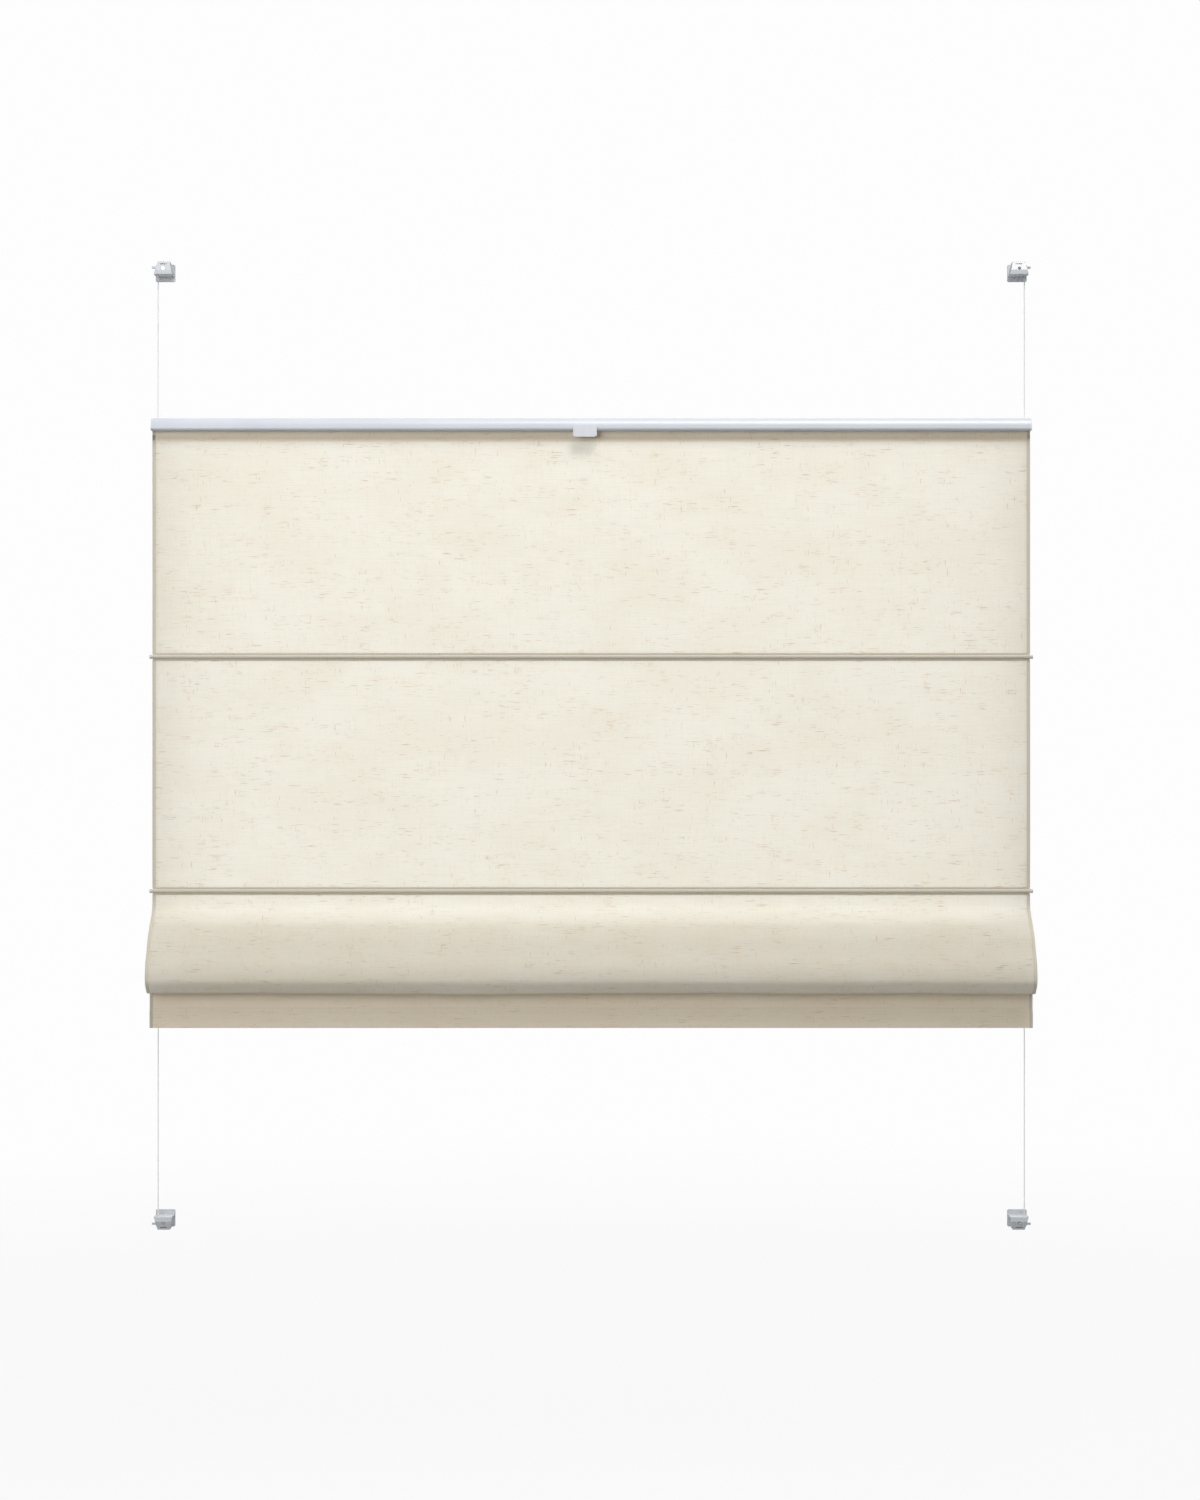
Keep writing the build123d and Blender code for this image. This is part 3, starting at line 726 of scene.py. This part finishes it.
# The skirt: round the third rod in the lower rail, out, down, round the hem bar and up again
# behind, as a deep hem.
hem_low, hem_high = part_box("hem_bar")
bar_y = (hem_low.y + hem_high.y) / 2
pocket = (hem_high.y - hem_low.y) / 2 + HALF + BAR_GAP
hem_z = hem_low.z - BAR_GAP - HALF
pocket_top = hem_high.z + BAR_TOP_GAP
turned_y = skirt_y + CLOTH + HEM_GAP
hem_top = rail_low.z - HEM_EDGE_BELOW_RAIL
neck = math.degrees(math.asin(HALF_CAD_CLOTH / TUNNEL))
around_rod = arc((ROD_3.y, ROD_3.z), TUNNEL, 180 - neck, -180 + neck, 25)
skirt_corners = [
    (throat_y, neck_low),
    (skirt_y, neck_low),
    (skirt_y, pocket_top + POCKET_NECK),
    (bar_y - pocket, pocket_top - POCKET_SHOULDER),
    (bar_y - pocket, hem_z),
    (bar_y + pocket, hem_z),
    (bar_y + pocket, pocket_top - POCKET_SHOULDER),
    (turned_y, pocket_top + 0.001),
    (turned_y, hem_top),
]
skirt_radii = [0.0009, 0.006, 0.004, 0.00112, 0.00112, 0.004, 0.002]
skirt_line = np.concatenate([
    [(throat_y, neck_top)], around_rod, rounded(skirt_corners, skirt_radii, 0.0006),
])
apart = np.concatenate(([True], lengths(skirt_line) > 1e-7))


def refine(points, longest):
    """Adds points on long runs, and keeps the points of the bends."""
    made = [points[0]]
    for a, b in zip(points, points[1:]):
        parts = max(1, int(math.ceil(np.linalg.norm(b - a) / longest)))
        made += [a + (b - a) * k / parts for k in range(1, parts + 1)]
    return np.array(made)


skirt_line = refine(skirt_line[apart], PANEL_STEP)
skirt_length = lengths(skirt_line).sum()
s_skirt_end = s_fold_end + skirt_length
deep_hem = (s_fold_end + HEM_STARTS, s_skirt_end)
skirt = sheet_piece(
    "cloth_skirt_piece", skirt_line, s_fold_end, (s_fold_end, s_skirt_end), 0.0, [deep_hem]
)

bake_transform(cloth_top)
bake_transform(cloth_upper)
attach(seam_1, "rod_1")
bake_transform(cloth_mid_top)
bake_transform(cloth_mid)
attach(seam_2, "rod_2")
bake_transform(fold_front)
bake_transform(fold_back)
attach(skirt, "lower_rail")
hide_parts("cloth_at_top_rail")
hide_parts("cloth_pleat_1")
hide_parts("cloth_at_rod_1")
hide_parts("cloth_pleat_2")
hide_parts("cloth_at_rod_2")
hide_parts("cloth_pleat_3")
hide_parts("cloth_skirt")


# ---------------------------------------------------------------- stitches

def thread_material():
    """Twisted sewing thread."""
    s = Shader("thread")
    twist = s.waves(s.place(s.add("ShaderNodeTexCoord", out=3), (1500, 400, 1500)), 0.3)
    inputs = {
        "Base Color": s.mix(twist, (0.66, 0.60, 0.48), (0.84, 0.79, 0.68)),
        "Roughness": 0.6,
        "Sheen Weight": 0.2,
        "Normal": s.bump(twist, 0.5, 0.00005),
    }
    return s.finish(s.add("ShaderNodeBsdfPrincipled", inputs))


THREAD = thread_material()


STITCH_PITCH = 0.0044
STITCH_LENGTH = 0.0034
THREAD_RADIUS = 0.00022
STITCH_RINGS = (-1.0, -0.55, 0.0, 0.55, 1.0)
STITCH_ARCH = 0.00016
STITCH_SLANT = 0.00008
SEAM_INSET = 0.005


def stitches(name, rows, body):
    """Running stitches along X: short arched threads on the cloth at each (y, z)."""
    verts, faces = [], []
    sides = 5
    last = (len(STITCH_RINGS) - 1) * sides
    for y, z in rows:
        for n in range(int((WIDTH - 2 * SEAM_INSET) / STITCH_PITCH)):
            middle_x = -EDGE_X + SEAM_INSET + STITCH_PITCH * (n + 0.5)
            base = len(verts)
            for share in STITCH_RINGS:
                x = middle_x + share * STITCH_LENGTH / 2
                lift = STITCH_ARCH * (1 - share * share)
                thick = THREAD_RADIUS * (0.55 if abs(share) == 1.0 else 1.0)
                for k in range(sides):
                    a = 2 * math.pi * k / sides
                    up = z + thick * math.sin(a) + STITCH_SLANT * share
                    verts.append((x, y - lift + thick * math.cos(a), up))
            for ring in range(len(STITCH_RINGS) - 1):
                for k in range(sides):
                    a, b = base + ring * sides + k, base + ring * sides + (k + 1) % sides
                    faces.append((a, b, b + sides, a + sides))
            faces.append(tuple(base + k for k in reversed(range(sides))))
            faces.append(tuple(base + last + k for k in range(sides)))
    mesh = bpy.data.meshes.new(name)
    mesh.from_pydata(verts, [], faces)
    mesh.materials.append(THREAD)
    mesh.update()
    mesh.shade_smooth()
    piece = bpy.data.objects.new(name, mesh)
    scene.collection.objects.link(piece)
    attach(piece, body)
    return piece


ON_CLOTH = 0.00010
on_panel = PANEL_Y - HALF - ON_CLOTH
on_seam = PANEL_Y - CLOTH - ON_CLOTH
outside = TUNNEL + HALF + STUB * SEAM_STITCH
thread_top = stitches("stitching_top", [(on_panel, RAIL_BOTTOM - BAND + BAND_STITCH)], "top_rail")
thread_1, thread_2 = (
    stitches(f"stitching_seam_{n}", [(on_seam, rod.z + outside), (on_seam, rod.z - outside)], f"rod_{n}")
    for n, rod in ((1, ROD_1), (2, ROD_2))
)
on_skirt = skirt_y - HALF - ON_CLOTH
thread_hem = stitches("stitching_hem", [(on_skirt, pocket_top + HEM_STITCH)], "lower_rail")


float(lengths(top_line).sum())


# ---------------------------------------------------------------- studio

def area(name, at, towards, size, power, colour, seen=True):
    """A rectangular light that faces a point."""
    data = bpy.data.lights.new(name, "AREA")
    data.shape = "RECTANGLE"
    data.size, data.size_y = size
    data.energy = power
    data.color = colour
    light = bpy.data.objects.new(name, data)
    light.location = at
    light.rotation_euler = (Vector(towards) - Vector(at)).to_track_quat("-Z", "Y").to_euler()
    light.visible_camera = seen
    scene.collection.objects.link(light)


area("key", (0.6, -1.7, 2.45), (0, 0, -0.5), (1.7, 1.0), 92.0, (1.0, 0.99, 0.975))
area("fill", (-1.4, -2.6, 0.1), (0, 0, -0.55), (1.8, 1.4), 34.0, (0.97, 0.985, 1.0))
area("window_light", (0.0, 0.032, -0.56), (0, -1, -0.56), (1.0, 1.0), 3.9, (0.88, 0.94, 1.0), False)

SKY = 0.42
GROUND = 0.10
BACKDROP = (0.985, 0.985, 0.985)


def sky():
    """Soft light from above and little from below; the backdrop itself is plain and pale."""
    made = bpy.data.worlds.new("sky")
    made.use_nodes = True
    tree = made.node_tree
    tree.nodes.clear()

    def add(kind, **settings):
        node = tree.nodes.new(kind)
        for key, value in settings.items():
            setattr(node, key, value)
        return node

    up = add("ShaderNodeSeparateXYZ")
    tree.links.new(add("ShaderNodeTexCoord").outputs["Generated"], up.inputs[0])
    amount = add("ShaderNodeMapRange", interpolation_type="SMOOTHSTEP")
    tree.links.new(up.outputs[2], amount.inputs["Value"])
    for key, value in (("From Min", -0.5), ("From Max", 0.6), ("To Min", GROUND), ("To Max", SKY)):
        amount.inputs[key].default_value = value
    light = add("ShaderNodeBackground")
    light.inputs["Color"].default_value = (0.97, 0.985, 1.0, 1)
    tree.links.new(amount.outputs[0], light.inputs["Strength"])
    plain = add("ShaderNodeBackground")
    plain.inputs["Color"].default_value = (*BACKDROP, 1)
    mixed = add("ShaderNodeMixShader")
    tree.links.new(add("ShaderNodeLightPath").outputs["Is Camera Ray"], mixed.inputs[0])
    tree.links.new(light.outputs[0], mixed.inputs[1])
    tree.links.new(plain.outputs[0], mixed.inputs[2])
    tree.links.new(mixed.outputs[0], add("ShaderNodeOutputWorld").inputs["Surface"])
    scene.world = made


sky()


FLOOR_DROP = 0.32
FLOOR_FADES, FLOOR_RADIUS = 1.4, 3.0
FLOOR_SIDES = 96
FLOOR_PALE = 0.94


def floor():
    """A pale floor that fades out far from the blind. The camera sees it nearly as the backdrop."""
    s = Shader("floor")
    place = s.add("ShaderNodeTexCoord", out=3)
    far = s.add("ShaderNodeVectorMath", {0: place}, out=1, operation="LENGTH")
    fine = s.noise(s.place(place, (60, 60, 60)), detail=4.0)
    grey = s.mix(fine, (0.44, 0.44, 0.44), (0.48, 0.48, 0.475))
    matt = s.add("ShaderNodeBsdfPrincipled", {"Base Color": grey, "Roughness": 0.8})
    pale = s.add("ShaderNodeEmission", {"Color": BACKDROP})
    seen = s.math("MULTIPLY", s.add("ShaderNodeLightPath"), FLOOR_PALE)
    lifted = s.add("ShaderNodeMixShader", {0: seen, 1: matt, 2: pale})
    clear = s.add("ShaderNodeBsdfTransparent")
    faded = s.between(far, FLOOR_FADES, FLOOR_RADIUS)
    surface = s.add("ShaderNodeMixShader", {0: faded, 1: lifted, 2: clear})
    mesh = bpy.data.meshes.new("floor")
    angles = np.linspace(0, 2 * math.pi, FLOOR_SIDES + 1)[:-1]
    ring = [(FLOOR_RADIUS * math.cos(a), FLOOR_RADIUS * math.sin(a), 0.0) for a in angles]
    wedges = [(0, i + 1, (i + 1) % FLOOR_SIDES + 1) for i in range(FLOOR_SIDES)]
    mesh.from_pydata([(0.0, 0.0, 0.0)] + ring, [], wedges)
    mesh.materials.append(s.finish(surface))
    made = bpy.data.objects.new("floor", mesh)
    made.location = (0, 0, cad_low.z - FLOOR_DROP)
    scene.collection.objects.link(made)
    made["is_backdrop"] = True


floor()
scene.view_settings.view_transform = "Standard"

low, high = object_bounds()
